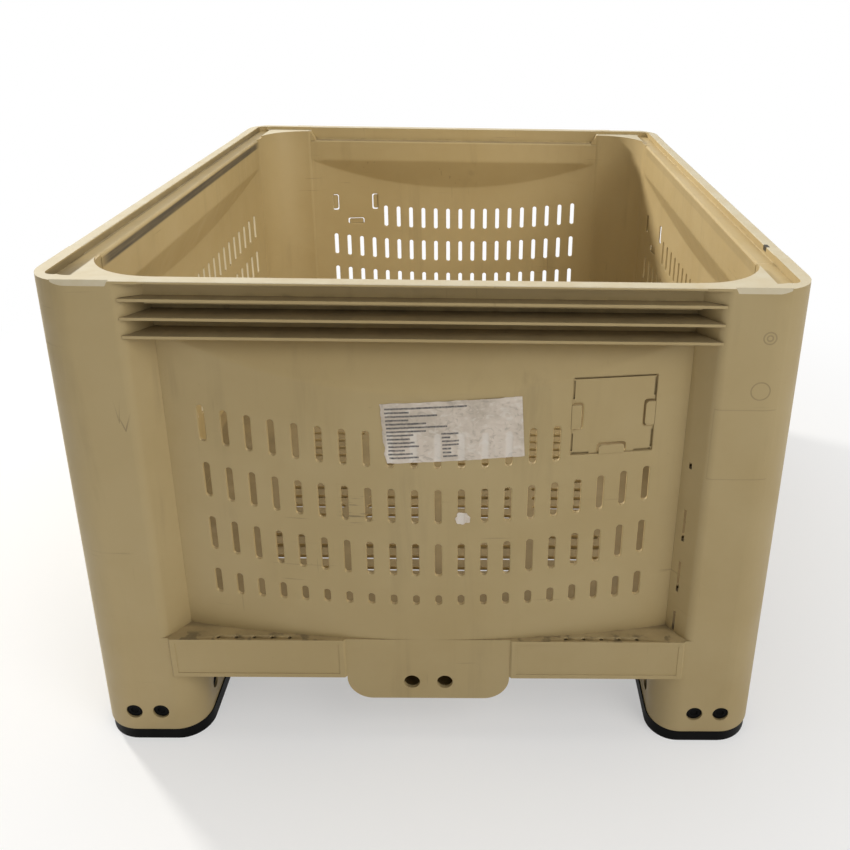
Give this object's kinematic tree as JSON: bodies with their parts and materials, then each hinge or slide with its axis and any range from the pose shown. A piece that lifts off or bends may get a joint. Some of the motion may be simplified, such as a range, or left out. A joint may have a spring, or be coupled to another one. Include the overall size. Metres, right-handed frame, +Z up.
{
  "type": "fruit bin",
  "caption": "Vented plastic bulk fruit bin with bowed slotted walls, hollow corner posts, a ribbed rim, card holders, and black runners pinned under the feet, open to forks.",
  "frame": {"origin": "on the ground, under the middle of the bin", "axes": "+X to the right along the front wall, +Y from the front wall to the rear wall, +Z up"},
  "size_m": [1.006, 1.206, 0.74],
  "materials": {
    "tan_plastic": "weathered sand-coloured moulded polyethylene, satin",
    "black_plastic": "black moulded plastic, scuffed",
    "paper": "matt coated paper label, wrinkled"
  },
  "bodies": {
    "bin": {"front_wall": "tan_plastic", "right_wall": "tan_plastic", "rear_wall": "tan_plastic", "left_wall": "tan_plastic", "front_left_post": "tan_plastic", "front_right_post": "tan_plastic", "rear_right_post": "tan_plastic", "rear_left_post": "tan_plastic", "base_deck": "tan_plastic", "front_centre_block": "tan_plastic", "rear_centre_block": "tan_plastic", "left_middle_foot": "tan_plastic", "right_middle_foot": "tan_plastic", "front_left_beam": "tan_plastic", "front_right_beam": "tan_plastic", "right_front_beam": "tan_plastic", "right_rear_beam": "tan_plastic", "rear_right_beam": "tan_plastic", "rear_left_beam": "tan_plastic", "left_rear_beam": "tan_plastic", "left_front_beam": "tan_plastic", "left_runner": "black_plastic", "right_runner": "black_plastic", "front_left_pins": "black_plastic", "front_right_pins": "black_plastic", "rear_right_pins": "black_plastic", "rear_left_pins": "black_plastic", "left_middle_pins": "black_plastic", "right_middle_pins": "black_plastic", "product_label": "paper", "torn_sticker": "paper"},
    "front_card_tab_left": {"front_card_tab_left": "tan_plastic"},
    "front_card_tab_right": {"front_card_tab_right": "tan_plastic"},
    "front_card_tab_bottom": {"front_card_tab_bottom": "tan_plastic"},
    "right_card_tab_left": {"right_card_tab_left": "tan_plastic"},
    "right_card_tab_right": {"right_card_tab_right": "tan_plastic"},
    "right_card_tab_bottom": {"right_card_tab_bottom": "tan_plastic"},
    "rear_card_tab_left": {"rear_card_tab_left": "tan_plastic"},
    "rear_card_tab_right": {"rear_card_tab_right": "tan_plastic"},
    "rear_card_tab_bottom": {"rear_card_tab_bottom": "tan_plastic"},
    "left_card_tab_left": {"left_card_tab_left": "tan_plastic"},
    "left_card_tab_right": {"left_card_tab_right": "tan_plastic"},
    "left_card_tab_bottom": {"left_card_tab_bottom": "tan_plastic"}
  },
  "joints": [
    {"name": "front_card_tab_left_flex", "type": "hinge", "parent": "bin", "child": "front_card_tab_left", "pos_m": [0.194, -0.58957, 0.5525], "axis": [0, 0, -1], "range_deg": [0, 12], "stiffness_Nm_per_rad": 0.4},
    {"name": "front_card_tab_right_flex", "type": "hinge", "parent": "bin", "child": "front_card_tab_right", "pos_m": [0.308, -0.57312, 0.5525], "axis": [0, 0, 1], "range_deg": [0, 12], "stiffness_Nm_per_rad": 0.4},
    {"name": "front_card_tab_bottom_flex", "type": "hinge", "parent": "bin", "child": "front_card_tab_bottom", "pos_m": [0.251, -0.5823, 0.495], "axis": [0.9898, 0.1427, 0], "range_deg": [0, 12], "stiffness_Nm_per_rad": 0.4},
    {"name": "right_card_tab_left_flex", "type": "hinge", "parent": "bin", "child": "right_card_tab_left", "pos_m": [0.48526, 0.294, 0.5525], "axis": [0, 0, -1], "range_deg": [0, 12], "stiffness_Nm_per_rad": 0.4},
    {"name": "right_card_tab_right_flex", "type": "hinge", "parent": "bin", "child": "right_card_tab_right", "pos_m": [0.47126, 0.408, 0.5525], "axis": [0, 0, 1], "range_deg": [0, 12], "stiffness_Nm_per_rad": 0.4},
    {"name": "right_card_tab_bottom_flex", "type": "hinge", "parent": "bin", "child": "right_card_tab_bottom", "pos_m": [0.47884, 0.351, 0.495], "axis": [-0.1218, 0.9925, 0], "range_deg": [0, 12], "stiffness_Nm_per_rad": 0.4},
    {"name": "rear_card_tab_left_flex", "type": "hinge", "parent": "bin", "child": "rear_card_tab_left", "pos_m": [-0.194, 0.58957, 0.5525], "axis": [0, 0, -1], "range_deg": [0, 12], "stiffness_Nm_per_rad": 0.4},
    {"name": "rear_card_tab_right_flex", "type": "hinge", "parent": "bin", "child": "rear_card_tab_right", "pos_m": [-0.308, 0.57312, 0.5525], "axis": [0, 0, 1], "range_deg": [0, 12], "stiffness_Nm_per_rad": 0.4},
    {"name": "rear_card_tab_bottom_flex", "type": "hinge", "parent": "bin", "child": "rear_card_tab_bottom", "pos_m": [-0.251, 0.5823, 0.495], "axis": [-0.9898, -0.1427, 0], "range_deg": [0, 12], "stiffness_Nm_per_rad": 0.4},
    {"name": "left_card_tab_left_flex", "type": "hinge", "parent": "bin", "child": "left_card_tab_left", "pos_m": [-0.48526, -0.294, 0.5525], "axis": [0, 0, -1], "range_deg": [0, 12], "stiffness_Nm_per_rad": 0.4},
    {"name": "left_card_tab_right_flex", "type": "hinge", "parent": "bin", "child": "left_card_tab_right", "pos_m": [-0.47126, -0.408, 0.5525], "axis": [0, 0, 1], "range_deg": [0, 12], "stiffness_Nm_per_rad": 0.4},
    {"name": "left_card_tab_bottom_flex", "type": "hinge", "parent": "bin", "child": "left_card_tab_bottom", "pos_m": [-0.47884, -0.351, 0.495], "axis": [0.1218, -0.9925, 0], "range_deg": [0, 12], "stiffness_Nm_per_rad": 0.4}
  ]
}
